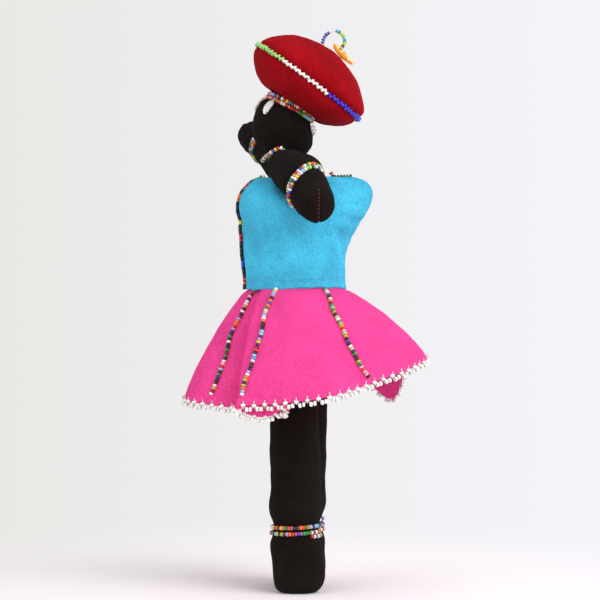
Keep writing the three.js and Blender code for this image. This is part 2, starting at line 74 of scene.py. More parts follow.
# Glass bead colours by letter. A string of letters is a string of beads, and FREE is a free choice.
FREE = "?"
BEAD_COLOURS = {
    "w": "#f5f2ea",  # white
    "c": "#efe3c4",  # cream
    "e": "#b9bcc0",  # grey
    "s": "#6d7b8c",  # slate
    "d": "#3a2f2c",  # dark
    "k": "#15130f",  # black
    "n": "#4a2417",  # brown
    "r": "#d21a1f",  # red
    "R": "#7c0f16",  # dark red
    "x": "#e8401c",  # orange red
    "o": "#f2761a",  # orange
    "a": "#e99a1c",  # amber
    "u": "#d6a41c",  # gold
    "y": "#f4cf2a",  # yellow
    "t": "#c9a36a",  # tan
    "l": "#a9c83a",  # lime
    "p": "#9fd873",  # pale green
    "g": "#1f8f3c",  # green
    "T": "#138a86",  # teal
    "m": "#9fe0cf",  # mint
    "q": "#4fc3d0",  # aqua
    "S": "#4ba6df",  # sky
    "L": "#8fc7ea",  # light blue
    "b": "#1d50c4",  # blue
    "N": "#182a6e",  # navy
    "v": "#5a3fb8",  # violet
    "i": "#b59ad6",  # lilac
    "M": "#a0587f",  # mauve
    "P": "#f2b3bd",  # pink
    "B": "#2b22c8",  # royal
}


# ---- Materials -------------------------------------------------------------------------------


def linear(hex_colour):
    """The linear colour of a hex one."""
    def channel(value):
        return value / 12.92 if value <= 0.04045 else ((value + 0.055) / 1.055) ** 2.4

    return [channel(int(hex_colour[i:i + 2], 16) / 255) for i in (1, 3, 5)] + [1.0]


class Nodes:
    """The node tree of a material or a world, with short calls to add and link nodes."""

    def __init__(self, owner):
        owner.use_nodes = True
        self.owner = owner
        self.tree = owner.node_tree
        self.shader = self.tree.nodes.get("Principled BSDF")

    def add(self, kind, inputs=None, **settings):
        node = self.tree.nodes.new(kind)
        for key, value in settings.items():
            setattr(node, key, value)
        for key, value in (inputs or {}).items():
            self.feed(node, key, value)
        return node

    def feed(self, node, key, value):
        if isinstance(value, bpy.types.NodeSocket):
            self.tree.links.new(value, node.inputs[key])
        else:
            node.inputs[key].default_value = value

    def look(self, inputs):
        """Sets the shader's inputs, and returns the tree's owner."""
        for key, value in inputs.items():
            self.feed(self.shader, key, value)
        return self.owner

    def noise(self, scale, detail=3.0, roughness=0.6, distortion=0.0):
        place = self.add("ShaderNodeTexCoord").outputs["Object"]
        inputs = {"Vector": place, "Scale": scale, "Detail": detail}
        inputs.update({"Roughness": roughness, "Distortion": distortion})
        return self.add("ShaderNodeTexNoise", inputs).outputs["Fac"]

    def ramp(self, factor, stops):
        node = self.add("ShaderNodeValToRGB", {"Fac": factor})
        elements = node.color_ramp.elements
        while len(elements) < len(stops):
            elements.new(0.5)
        for element, (at, colour) in zip(elements, stops):
            element.position = at
            element.color = colour
        return node.outputs["Color"]

    def mix(self, kind, factor, a, b):
        node = self.add("ShaderNodeMix", data_type="RGBA", blend_type=kind)
        self.feed(node, 0, factor)
        self.feed(node, 6, a)
        self.feed(node, 7, b)
        return node.outputs[2]

    def bump(self, height, strength, distance, normal=None):
        inputs = {"Height": height, "Strength": strength, "Distance": distance}
        if normal is not None:
            inputs["Normal"] = normal
        return self.add("ShaderNodeBump", inputs).outputs["Normal"]


def new_material(name):
    return Nodes(bpy.data.materials.new(name))


def grey(value):
    return [value, value, value, 1.0]


FELT_LAYERS = (  # noise scale, detail, roughness, distortion, and how much darker and lighter it goes
    (60, 3.0, 0.6, 0.0, 0.7, 0.5),  # blotches in the dye
    (640, 3.0, 0.65, 3.0, 1.0, 1.0),  # matted wool
    (1500, 4.0, 0.75, 3.0, 1.4, 1.4),  # single fibres
)


def felt_material(name, hex_colour, sheen, contrast):
    """Pressed wool felt: blotchy dye, matted fibres and a soft fuzz that catches light at the edges."""
    n = new_material(name)
    base = colour = linear(hex_colour)
    for *grain, darker, lighter in FELT_LAYERS:
        stops = [(0.3, grey(1 - darker * contrast)), (0.7, grey(1 + lighter * contrast))]
        colour = n.mix("MULTIPLY", 1.0, colour, n.ramp(n.noise(*grain), stops))
    coarse = n.bump(n.noise(520, 3.0, 0.65, 1.5), 0.8, 0.0011)
    return n.look({
        "Base Color": colour,
        "Roughness": 0.97,
        "Specular IOR Level": 0.05,
        "Sheen Weight": sheen,
        "Sheen Roughness": 0.4,
        "Sheen Tint": [min(1.0, 0.15 + 0.85 * c) for c in base[:3]] + [1.0],
        "Normal": n.bump(n.noise(1900, 4.0, 0.75, 3.0), 0.9, 0.0007, coarse),
    })


def painted_glow(material, colour, strength):
    """A painted glow in a felt's colour, which keeps its shaded side bright and saturated, standing in for
    light bounced inside the felt.
    """
    shader = material.node_tree.nodes["Principled BSDF"]
    shader.inputs["Emission Color"].default_value = linear(colour)
    shader.inputs["Emission Strength"].default_value = strength


def bead_material():
    """Glass seed beads: each bead's own colour, glossy, with slight streaks in the glass."""
    n = new_material("seed_bead_glass")
    own = n.add("ShaderNodeAttribute", attribute_name="bead_colour").outputs["Color"]
    streaks = n.ramp(n.noise(900, 2.0, 0.5), [(0.3, grey(0.88)), (0.7, grey(1.06))])
    gloss = {"Value": n.noise(1400, 2.0), "To Min": 0.1, "To Max": 0.26}
    return n.look({
        "Base Color": n.mix("MULTIPLY", 1.0, own, streaks),
        "Roughness": n.add("ShaderNodeMapRange", gloss).outputs["Result"],
        "Coat Weight": 0.4,
        "Coat Roughness": 0.08,
        "Normal": n.bump(n.noise(1100, 2.0), 0.12, 0.0002),
    })


def amber_material():
    """Moulded see-through amber glass, cloudy inside, with a painted glow in its own colour that brightens
    it.
    """
    n = new_material("amber_glass")
    cloud = n.noise(260, 3.0)
    colour = n.ramp(cloud, [(0.3, linear("#ff9a14")), (0.7, linear("#ffc648"))])
    return n.look({
        "Base Color": colour,
        "Roughness": 0.14,
        "Transmission Weight": 0.45,
        # painted glow: emission in the glass's own colour stands in for light through and off it
        "Emission Color": colour,
        "Emission Strength": 0.3,
        "Coat Weight": 0.6,
        "Normal": n.bump(cloud, 0.2, 0.0005),
    })


def thread_material(name, hex_colour):
    """Twisted sewing thread."""
    n = new_material(name)
    twist = n.noise(2500, 2.0, 0.5)
    shade = n.ramp(twist, [(0.2, grey(0.7)), (0.8, grey(1.1))])
    return n.look({
        "Base Color": n.mix("MULTIPLY", 1.0, linear(hex_colour), shade),
        "Roughness": 0.7,
        "Normal": n.bump(twist, 0.5, 0.0001),
    })


felt = {name: felt_material(f"{name}_felt", *look) for name, look in FELTS.items()}
# painted glow on the pink felt, which lifts its shaded side
painted_glow(felt["pink"], "#ff2f5f", 0.13)
bead_glass = bead_material()
amber = amber_material()
dark_thread = thread_material("dark_thread", "#2a1512")
hand_thread = thread_material("hand_thread", "#6e3524")
clear_thread = thread_material("clear_thread", "#d8d5cc")


# ---- Meshes ----------------------------------------------------------------------------------


def make_object(name, vertices, faces, material, slot=None):
    """A new mesh object from points in millimetres, with its material.

    The slot argument is not used.
    """
    mesh = bpy.data.meshes.new(name)
    mesh.from_pydata([tuple(c * MM for c in v) for v in vertices], [], faces)
    mesh.validate()
    mesh.shade_smooth()
    obj = bpy.data.objects.new(name, mesh)
    bpy.context.scene.collection.objects.link(obj)
    mesh.materials.append(material)
    return obj


def grid_faces(rows, columns, offset=0):
    """Quads between rows of points, each row joined round to its own start."""
    faces = []
    for i in range(rows - 1):
        here, below = offset + i * columns, offset + (i + 1) * columns
        for j in range(columns):
            k = (j + 1) % columns
            faces.append((here + j, here + k, below + k, below + j))
    return faces


def node_tree(*names, turn=None):
    """A ray-casting tree, in millimetres, of CAD nodes, moved by the matrix turn if it is given."""
    points, faces = [], []
    for name in names:
        mesh = frame["nodes"][name].data
        base = len(points)
        for vertex in mesh.vertices:
            point = vertex.co / MM
            points.append(turn @ point if turn else point)
        faces += [[base + i for i in polygon.vertices] for polygon in mesh.polygons]
    return BVHTree.FromPolygons(points, faces)


def around(turn, across=Vector((1, 0, 0)), over=Vector((0, 1, 0))):
    """The direction at an angle, in radians, from across towards over."""
    return across * math.cos(turn) + over * math.sin(turn)


def towards(direction, *parts):
    """How much of the direction faces the way given by parts, and 0 where it faces away."""
    return max(0.0, direction.dot(Vector(parts)))


def outside(tree, origin, direction, reach):
    """The place where a tree's outside lies, seen from reach away along a direction, or None."""
    return tree.ray_cast(origin + direction * reach, -direction, reach)[0]


def cad_box(name):
    """The low and high corners of a CAD node, in millimetres."""
    return [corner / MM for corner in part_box(name)]


def joint(name):
    return next(j for j in frame["joints"] if j["name"] == name)


def pivot_of(name):
    """A joint's place, in millimetres."""
    return Vector(joint(name)["pos_m"]) / MM


def joint_turn(name, degrees):
    """The matrix, in millimetres, of a hinge's turn away from rest."""
    found = joint(name)
    pivot = pivot_of(name)
    spin = Matrix.Rotation(math.radians(degrees), 4, Vector(found["axis"]))
    return Matrix.Translation(pivot) @ spin @ Matrix.Translation(-pivot)


def ring_frame(name):
    """Middle, axis and mean radius of a ring-shaped CAD node, in millimetres."""
    points = np.array([v.co for v in frame["nodes"][name].data.vertices]) / MM
    middle = (points.min(0) + points.max(0)) / 2
    for _ in range(2):
        _, _, axes = np.linalg.svd(points - middle, full_matrices=False)
        axis = axes[2]
        flat = points - middle - np.outer((points - middle) @ axis, axis)
        across, over = axes[0], axes[1]
        low = np.array([(flat @ d).min() for d in (across, over)])
        high = np.array([(flat @ d).max() for d in (across, over)])
        middle = middle + across * (low[0] + high[0]) / 2 + over * (low[1] + high[1]) / 2
    radius = np.linalg.norm(points - middle, axis=1).mean()
    axis = Vector(axis)
    return Vector(middle), axis if axis.z > 0 else -axis, radius


def capsule_rays(start, end, girth, rows, columns):
    """Origins and directions of rays that leave a capsule's axis evenly, from pole to pole."""
    axis = (end - start).normalized()
    across = axis.orthogonal().normalized()
    over = axis.cross(across)
    quarter = girth * math.pi / 2
    span = (end - start).length
    rays = []
    for i in range(rows):
        way = (2 * quarter + span) * i / (rows - 1)
        if way < quarter:
            origin, tilt = start, way / girth - math.pi / 2
        elif way > quarter + span:
            origin, tilt = end, (way - quarter - span) / girth
        else:
            origin, tilt = start + axis * (way - quarter), 0.0
        outs = [around(2 * math.pi * j / columns, across, over) for j in range(columns)]
        rays.append([(origin, around(tilt, out, axis)) for out in outs])
    return rays


def distances(rays, tree, reach=90.0, least=0.0):
    """How far out along each ray the tree's outside lies, with gaps filled from their neighbours."""
    found = np.full((len(rays), len(rays[0])), np.nan)
    for i, row in enumerate(rays):
        for j, (origin, direction) in enumerate(row):
            hit = tree.ray_cast(origin + direction * reach, -direction, reach)
            if hit[0] is not None and reach - hit[3] > least:
                found[i, j] = reach - hit[3]
    missing = np.isnan(found)
    filled = np.where(missing, np.nanmean(found), found)
    for _ in range(200 if missing.any() else 0):
        filled = np.where(missing, smoothed(filled), found)
    return filled


def smoothed(values, times=1):
    """Averages a grid that wraps round in its second direction."""
    for _ in range(times):
        up = np.vstack([values[:1], values[:-1]])
        down = np.vstack([values[1:], values[-1:]])
        sides = np.roll(values, 1, 1) + np.roll(values, -1, 1)
        values = (2 * values + up + down + sides) / 6
    return values


def uneven(point, layers):
    """Low hand-stuffed unevenness at a point, in millimetres, from (size, amount) layers."""
    return sum(amount * noise.noise(point / size + RIPPLE_SEED) for size, amount in layers)


def hill(value, centre, width):
    """A smooth hill: 1 at its centre, and low at a few widths from it."""
    return math.exp(-((value - centre) / width) ** 2)


def smooth_step(value):
    value = max(0.0, min(1.0, value))
    return value * value * (3 - 2 * value)


def skin_points(rays, reach, ends=(0, -1)):
    """The points at the given distances, with each closed end's row drawn to one place."""
    points = [[o + d * reach[i, j] for j, (o, d) in enumerate(row)] for i, row in enumerate(rays)]
    for end in ends:
        draw_in(points, end)
    return points


def draw_in(rows, end):
    middle = sum(rows[end], Vector()) / len(rows[end])
    rows[end] = [middle.copy() for _ in rows[end]]


CLOTH_SCALE = 0.008  # cloth is simulated eight times larger than life
CLOTH_FRAMES = 18
CLOTH_CAP = 1.3  # how far the stuffing may move the fabric
CLOTH_SWELL = 0.5  # a form starts this much smaller than its CAD skin
CLOTH_GROWTH = 0.02  # fabric is cut this share larger than the form it covers


def simulated(rows, pinned):
    """Fabric stretched over stuffing: rows of points pushed out by pressure and held along sewn lines.

    The rows are moved in place. The value of pinned(point) is 1 on a sewn line, and 0 where the
    fabric is free. A first or last row drawn to one place is a closed end, and any other is sewn.
    """
    columns = len(rows[0])
    places, index = [], []
    for row in rows:
        closed = (row[0] - row[1]).length < 1e-6
        index.append([len(places) + (0 if closed else j) for j in range(columns)])
        places += row[:1] if closed else row
    faces = []
    for upper, lower in zip(index, index[1:]):
        for j in range(columns):
            k = (j + 1) % columns
            corners = (upper[j], upper[k], lower[k], lower[j])
            faces.append(tuple(dict.fromkeys(corners)))
    mesh = bpy.data.meshes.new("cloth_form")
    mesh.from_pydata([tuple(p * CLOTH_SCALE) for p in places], [], faces)
    work = bmesh.new()
    work.from_mesh(mesh)
    bmesh.ops.recalc_face_normals(work, faces=work.faces)
    work.to_mesh(mesh)
    work.free()
    form = bpy.data.objects.new("cloth_form", mesh)
    scene = bpy.context.scene
    scene.collection.objects.link(form)
    sewn = form.vertex_groups.new(name="sewn")
    open_ends = {i for row in (index[0], index[-1]) if row[0] != row[1] for i in row}
    for i, place in enumerate(places):
        weight = 1.0 if i in open_ends else pinned(place)
        if weight > 0.01:
            sewn.add([i], weight, "REPLACE")
    cloth = form.modifiers.new("cloth", "CLOTH")
    settings = cloth.settings
    settings.quality = 4
    settings.mass = 0.3
    settings.tension_stiffness = settings.compression_stiffness = 20
    settings.bending_stiffness = 6
    settings.shrink_min = -CLOTH_GROWTH
    settings.use_pressure = True
    settings.uniform_pressure_force = 4
    settings.vertex_group_mass = "sewn"
    settings.effector_weights.gravity = 0
    cloth.point_cache.frame_end = CLOTH_FRAMES
    for number in range(1, CLOTH_FRAMES + 1):
        scene.frame_set(number)
    settled = form.evaluated_get(bpy.context.evaluated_depsgraph_get()).to_mesh()
    ends = [v.co / CLOTH_SCALE for v in settled.vertices]
    bpy.data.objects.remove(form)
    scene.frame_set(1)
    for row, numbers in zip(rows, index):
        for j, point in enumerate(row):
            move = ends[numbers[j]] - point
            row[j] = point + move * min(1.0, CLOTH_CAP / max(move.length, 1e-6))


def skin_mesh(rows, open_start=False):
    """Vertices and faces of a skin that ends at one place, and starts at one unless it is open."""
    columns = len(rows[0])
    first = 0 if open_start else 1
    flat = rows[0][:first] + [p for row in rows[first:-1] for p in row] + [rows[-1][0]]
    faces = grid_faces(len(rows) - 1 - first, columns, offset=first)
    last = len(flat) - 1
    for j in range(columns):
        k = (j + 1) % columns
        if not open_start:
            faces.append((0, 1 + k, 1 + j))
        faces.append((last, last - columns + j, last - columns + k))
    return flat, faces


STUFFED_LAYERS = ((9.0, 0.55), (3.0, 0.22), (1.1, 0.12))


def stuffed(name, start, end, girth, rows, columns, detail):
    """A stuffed black felt form that follows a CAD node's outside, softened and slightly uneven."""
    rays = capsule_rays(start, end, girth, rows, columns)
    reach = smoothed(distances(rays, node_tree(name + "_felt")), 3)
    points = skin_points(rays, reach - CLOTH_SWELL)
    simulated(points, lambda point: 0.0)
    for i, row in enumerate(points):
        for j, point in enumerate(row):
            direction = rays[i][j][1] if 0 < i < rows - 1 else rays[i][0][1]
            row[j] = point + direction * uneven(point, STUFFED_LAYERS) + detail(point, direction)
            row[j].z = max(row[j].z, 0.0)
    piece = make_object(name, *skin_mesh(points), felt["black"])
    finish_felt(piece, name, name + "_felt", name + "_stuffing")
    return object_tree(piece)


def thicken(piece):
    """Gives a sheet of felt its thickness, inwards."""
    thick = piece.modifiers.new("thickness", "SOLIDIFY")
    thick.thickness = FELT * MM
    thick.offset = -1


def finish_felt(piece, body, *nodes):
    """Rounds a felt piece's facets, ties it to its body, and puts it in the place of CAD nodes."""
    divide = piece.modifiers.new("fine", "SUBSURF")
    divide.levels = divide.render_levels = 1
    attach(piece, body)
    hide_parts(*nodes)


def cylinder_curve(strands, radius, name, material, body):
    """Threads or stitches: a round tube along each strand of points, as one curve."""
    curve = bpy.data.curves.new(name, "CURVE")
    curve.dimensions = "3D"
    curve.bevel_depth = radius * MM
    curve.bevel_resolution = 2
    curve.use_fill_caps = True
    for strand in strands:
        spline = curve.splines.new("POLY")
        spline.points.add(len(strand) - 1)
        for place, point in zip(spline.points, strand):
            place.co = (*(point * MM), 1.0)
    obj = bpy.data.objects.new(name, curve)
    bpy.context.scene.collection.objects.link(obj)
    curve.materials.append(material)
    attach(obj, body)
    return obj


# ---- Beads -----------------------------------------------------------------------------------

BEAD_SIDES = 12
BEAD_SECTION = 8


def bead_mesh(centre, axis, size, base):
    """One bead's points and faces: a rounded ring about its thread's direction."""
    across = axis.orthogonal().normalized()
    over = axis.cross(across)
    radius = BEAD_R * size * rng.uniform(0.95, 1.05)
    length = BEAD_LENGTH * size * rng.uniform(0.92, 1.06)
    hole = 0.3 * radius
    middle, wide = (radius + hole) / 2, (radius - hole) / 2
    points = []
    for i in range(BEAD_SIDES):
        out = around(2 * math.pi * i / BEAD_SIDES, across, over)
        for j in range(BEAD_SECTION):
            a = 2 * math.pi * j / BEAD_SECTION
            c, s = math.cos(a), math.sin(a)
            square = 0.86 / 0.76 if abs(c * s) > 0.3 else 1.0  # the section is a rounded square
            points.append(centre + out * (middle + wide * c * square * 0.95)
                          + axis * (length * 0.5 * s * square * 0.9))
    faces = []
    for i in range(BEAD_SIDES):
        here, after = base + i * BEAD_SECTION, base + (i + 1) % BEAD_SIDES * BEAD_SECTION
        for j in range(BEAD_SECTION):
            k = (j + 1) % BEAD_SECTION
            faces.append((here + j, after + j, after + k, here + k))
    return points, faces


def make_beads(name, places, body, node=None, size=1.0, thread=clear_thread):
    """A string of beads from (centre, thread direction, colour letter) places, with its thread."""
    points, faces, colours = [], [], []
    for centre, axis, colour in places:
        tilt = Vector([rng.uniform(-0.12, 0.12) for _ in range(3)])
        new, sides = bead_mesh(centre, (axis + tilt).normalized(), size, len(points))
        points += new
        faces += sides
        shade = rng.uniform(0.9, 1.08)
        colours += [[c * shade for c in linear(BEAD_COLOURS[colour])[:3]] + [1.0]] * len(new)
    slot = "white_beads" if all(place[2] == "w" for place in places) else "mixed_beads"
    beads = make_object(name, points, faces, bead_glass, slot)
    attribute = beads.data.color_attributes.new("bead_colour", "FLOAT_COLOR", "POINT")
    attribute.data.foreach_set("color", [c for colour in colours for c in colour])
    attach(beads, body)
    if node:
        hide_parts(node)
    if thread:
        strand = [[place[0] for place in places]]
        cylinder_curve(strand, THREAD_R, name + "_thread", thread, body)


def spaced(path, pitch):
    """Points at an even pitch along a polyline, each with the direction there."""
    lengths = [0.0]
    for a, b in zip(path, path[1:]):
        lengths.append(lengths[-1] + (b - a).length)
    count = max(2, int(lengths[-1] / pitch))
    found = []
    for i in range(count + 1):
        want = min(lengths[-1] * i / count, lengths[-1] - 1e-6)
        k = max(n for n in range(len(lengths) - 1) if lengths[n] <= want)
        t = (want - lengths[k]) / max(lengths[k + 1] - lengths[k], 1e-9)
        found.append((path[k].lerp(path[k + 1], t), (path[k + 1] - path[k]).normalized()))
    return found


def coloured(spots, sequence, spread="roygbNwkLRip"):
    """Gives each spot the sequence's next colour, or a seeded choice where that is free or used up."""
    picked = []
    for i, (point, direction) in enumerate(spots):
        letter = sequence[i] if i < len(sequence) else FREE
        picked.append((point, direction, rng.choice(spread) if letter == FREE else letter))
    return picked


def ring_path(middle, axis, radius, first, steps=120):
    """A closed circle that starts towards the direction first and turns about axis."""
    across = (first - axis * first.dot(axis)).normalized()
    over = axis.cross(across)
    turns = [2 * math.pi * i / steps for i in range(steps + 1)]
    return [middle + around(turn, across, over) * radius for turn in turns]


def rested(path, tree, centre_of, lift):
    """Draws each point of a path in towards a centre until it rests on a surface."""
    settled = []
    for point in path:
        centre = centre_of(point)
        out = (point - centre).normalized()
        hit = outside(tree, centre, out, 60)
        settled.append(point if hit is None else hit + out * lift)
    return settled


def object_tree(obj):
    """A ray-casting tree, in millimetres, of an object with its modifiers applied."""
    mesh = obj.evaluated_get(bpy.context.evaluated_depsgraph_get()).to_mesh()
    points = [v.co / MM for v in mesh.vertices]
    faces = [list(p.vertices) for p in mesh.polygons]
    return BVHTree.FromPolygons(points, faces)


# ---- Legs ------------------------------------------------------------------------------------

ANKLET_LOW = 27.3
ANKLET_RISE = 6.2
ANKLET_START = 40.0  # degrees round from +X towards +Y
ANKLET_SWEEP = 760.0
ANKLET_STEPS = 160
ANKLET_COLOURS = "rcbco" + FREE * 31 + "gkqyNlRiorMvMgggc" + FREE * 35 + "proNyogxMkdoxgoLNiq"


def build_leg(side):
    low, high = cad_box(f"{side}_leg_felt")
    x = (low.x + high.x) / 2
    hip = pivot_of(f"{side}_hip")
    sole_y = (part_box("left_leg_felt")[0].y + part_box("right_leg_felt")[1].y) / 2 / MM
    foot = Vector((x, sole_y, 11.5))

    def detail(point, _):
        """Fuller at the ankle and the back of the sole than the plain form, and rounder under the foot."""
        front = (point.y - sole_y) / 12
        low, high = (2.3, 1.5) if front < 0 else (0.9, 0.9)
        ankle = low * hill(point.z, 26.5, 7.0) + high * hill(point.z, 41.0, 8.0)
        heel = 1.2 * hill(point.z, 10, 7) * max(0.0, (point.y - sole_y) / 13) ** 2
        lift = 3.2 * ((point.x - x) / 11) ** 2 * (1 - smooth_step(point.z / 7))
        return Vector(((point.x - x) / 12 * ankle * 0.6, front * ankle + heel, lift))

    surface = stuffed(f"{side}_leg", foot, hip, 12.5, 110, 48, detail)
    path = []
    for i in range(ANKLET_STEPS + 1):
        share = i / ANKLET_STEPS
        turn = math.radians(ANKLET_START + ANKLET_SWEEP * share)
        z = ANKLET_LOW + ANKLET_RISE * share + math.exp(-i / 14)  # the first bead sits a little high
        path.append(Vector((x, sole_y, z)) + around(turn) * 30)

    def centre_of(point):
        return Vector((x, sole_y + (hip.y - sole_y) * point.z / hip.z, point.z))

    rest = rested(path, surface, centre_of, BEAD_R * 0.78)
    places = coloured(spaced(rest, BEAD_LENGTH), ANKLET_COLOURS)
    make_beads(f"{side}_anklet_beads", places, f"{side}_leg", f"{side}_anklet")


# ---- Arms ------------------------------------------------------------------------------------

BRACELET_UPPER = "wioyNrbwMuNwyPwLwl"
BRACELET_LOWER = "LworNLywigwtrwbowg"


# Where the bracelet sits along the arm from its CAD place and how it leans, how the wrist and hand hang
# from theirs, how full the hand is, and how deep the bracelet presses in
HAND = {
    "left": {"slide": -3.5, "lean": Vector((0, 0.45, 0)), "wrist": Vector((0, -1.3, 2.4)),
             "hand": Vector((0.6, -0.6, -2.2)), "swell": 0.6, "groove": 1.9},
    "right": {"slide": -9.0, "lean": Vector(), "wrist": Vector((0, 0.6, -1.2)),
              "hand": Vector((0, -2.4, -3.2)), "swell": -0.4, "groove": 0.6},
}


def build_arm(side):
    start = pivot_of(f"{side}_shoulder")
    cad_middle, axis, _ = ring_frame(f"{side}_bracelet")
    outward = 1 if side == "left" else -1
    if axis.x * outward < 0:
        axis = -axis
    end = cad_middle + axis * 2.5
    elbow = start.lerp(end, 0.25)
    hang = HAND[side]
    tip = cad_middle + axis * 12 + hang["hand"]

    def detail(point, direction):
        """The wrist and hand hang off the plain form's line, and one seam closes the hand."""
        beyond = (point - cad_middle).dot(axis) - hang["slide"]  # how far past the bracelet
        hand = smooth_step(beyond / 7)
        wrist = smooth_step((beyond + 28) / 26) * (1 - hand)
        across = point.y + hang["hand"].y - tip.y
        seam = 0.35 * hill(across, -1.7, 0.9) - 0.45 * hill(across, 0, 0.8)
        behind = max(0.0, direction.y)
        groove = hang["groove"] * hill(beyond, -3.15 * behind, 3.0) * (0.6 + 0.4 * behind)
        elbow = 1.6 * hill(beyond, -12, 6) * towards(direction, 0, 0.7, 0.7)
        palm = 1.7 * hand * towards(direction, 0, -0.72, -0.7) ** 2
        push = smooth_step((beyond - 4) / 5) * seam + hand * hang["swell"] - groove + elbow - palm
        return hang["wrist"] * wrist + hang["hand"] * hand + direction * push

    surface = stuffed(f"{side}_arm", elbow, end, 10.0, 96, 64, detail)
    middle = cad_middle + axis * hang["slide"] + hang["wrist"] * 0.9
    axis = (axis + hang["lean"]).normalized()
    for row, colours in ((1, BRACELET_UPPER), (-1, BRACELET_LOWER)):
        shift = axis * (BEAD_LENGTH * 0.72 * row)
        first = Vector((0, -1, -0.9)) if side == "left" else Vector((0, 0, 1))
        path = ring_path(middle + shift, axis, 12.0, first)
        if side == "left":
            path.reverse()
        rest = rested(path, surface, lambda p, c=middle + shift: c, BEAD_R * 0.72)
        places = coloured(spaced(rest, BEAD_LENGTH)[:-1], colours)
        name = f"{side}_bracelet_{'outer' if row > 0 else 'inner'}_row"
        make_beads(name, places, f"{side}_arm", f"{side}_bracelet" if row > 0 else None, size=0.94)
    hand_stitches(side, surface, tip, outward)


def hand_stitches(side, surface, tip, outward):
    """Short stitches down the seam that closes the hand."""
    strands = []
    for k in range(10):
        strand = []
        for t in (-0.5, -0.2, 0.2, 0.5):
            start = Vector((outward * 80, tip.y, tip.z + 9.5 - 1.8 * k + t))
            hit = surface.ray_cast(start, Vector((-outward, 0, 0)), 60)
            if hit[0] is not None:
                strand.append(hit[0] + Vector((outward * (0.1 if abs(t) < 0.5 else -0.25), 0, 0)))
        if len(strand) > 2:
            strands.append(strand)
    cylinder_curve(strands, 0.2, f"{side}_hand_stitches", hand_thread, f"{side}_arm")


# ---- Head ------------------------------------------------------------------------------------

HEADBAND_LOWER = "coeroereoowwrorRrggu"
HEADBAND_UPPER = "gsoiieboNwrygbowrNyg"
HEADBAND_LEVEL = math.radians(5.0)  # the band lies this much flatter than the hat's rim


def build_head():
    band_middle, band_axis, _ = ring_frame("headband_lower_row")
    centre = Vector((0, -10.75, 231.85))
    top = centre.lerp(band_middle, 0.35)

    def detail(point, direction):
        """The head is fullest low at the back."""
        return direction * (2.3 * towards(direction, 0, 0.75, -0.66) ** 2)

    surface = stuffed("head", centre - band_axis * 1.5, top, 15.5, 80, 72, detail)

    level = Matrix.Rotation(HEADBAND_LEVEL, 3, "X")
    rows = {"headband_lower_row": HEADBAND_LOWER, "headband_upper_row": HEADBAND_UPPER}
    for name, colours in rows.items():
        ring_middle, axis, radius = ring_frame(name)
        front = ring_middle + Vector((0, -1, 0)) * radius * 0.8
        ring_middle = front + level @ (ring_middle - front)
        axis = level @ axis
        path = ring_path(ring_middle, axis, radius, Vector((0.12, -1, 0)))
        rest = rested(path, surface, lambda p, c=ring_middle: c, BEAD_R * 0.8)
        places = coloured(spaced(rest, BEAD_LENGTH)[:-1], colours)
        make_beads(name.replace("row", "beads"), places, "head", name)

    for node in ("left_eye_beads", "right_eye_beads"):
        build_oval(node, "head", surface, centre, 0.9, 3.5, Vector())
    tie_shift = Vector((5.0, 0.6, 2.0))
    build_oval("headband_tie_loop", "tie_loop", surface, centre, 1.3, 1.7, tie_shift, 1.25)


def build_oval(node, body, surface, centre, wide, tall, shift, lift=0.8):
    """A small oval of white beads lying on the head, where its CAD ring lies."""
    points = np.array([v.co for v in frame["nodes"][node].data.vertices]) / MM
    middle = (points.min(0) + points.max(0)) / 2
    _, _, axes = np.linalg.svd(points - middle, full_matrices=False)
    along, across = Vector(axes[0]), Vector(axes[1])
    along = along if along.z > 0 else -along
    along = (along + Vector((0, 0.2, 0))).normalized()
    turns = [2 * math.pi * i / 60 for i in range(61)]
    path = [Vector(middle) + shift + around(turn, across * wide, along * tall) for turn in turns]
    rest = rested(path, surface, lambda p: centre, BEAD_R * lift)
    places = coloured(spaced(rest, BEAD_LENGTH * 0.86)[:-1], "w" * 40)
    make_beads(node + "_string", places, body, node, size=0.95)


# ---- Hat -------------------------------------------------------------------------------------

LOOP_COLOURS = "ubbbNvSgllqTllnlu"
LOOP_SHAPE = (  # the loop's line over the crown: Y and Z
    (8.9, 272.9), (9.1, 275.4), (10.6, 278.1), (13.2, 279.6), (16.0, 280.1), (18.1, 278.9),
    (19.6, 276.9), (20.0, 274.6), (19.3, 272.7), (18.3, 271.0), (17.3, 269.7),
)
LOOP_GAP = (6, 7)  # places on the loop where the thread is bare
RIM_COLOURS = "p" * 24 + "w" * 21 + "B" * 27
RIM_DROP = math.radians(3.2)  # the sewn rim lies this much steeper than the CAD ring
RIM_ROLL = math.radians(2.4)  # and lower on the left side than on the right
HAT_ROWS, HAT_COLUMNS = 84, 120
HAT_LOWEST = math.radians(-50)  # how far below the rim's plane the rays of the pouch start
HAT_LAYERS = ((12, 0.9), (3.5, 0.2), (1.2, 0.1))


def rim_plane():
    """Middle and axis of the sewn rim's plane, drawn down at the back."""
    middle, axis, rim = ring_frame("hat_rim_beads")
    over = axis.cross(Vector((1, 0, 0))).normalized()
    over = over if over.y > 0 else -over
    front = middle - over * rim
    drop = Matrix.Rotation(-RIM_DROP, 3, "X")
    roll = Matrix.Rotation(RIM_ROLL, 3, over)
    return front + drop @ (middle - front), (roll @ (drop @ axis)).normalized(), rim


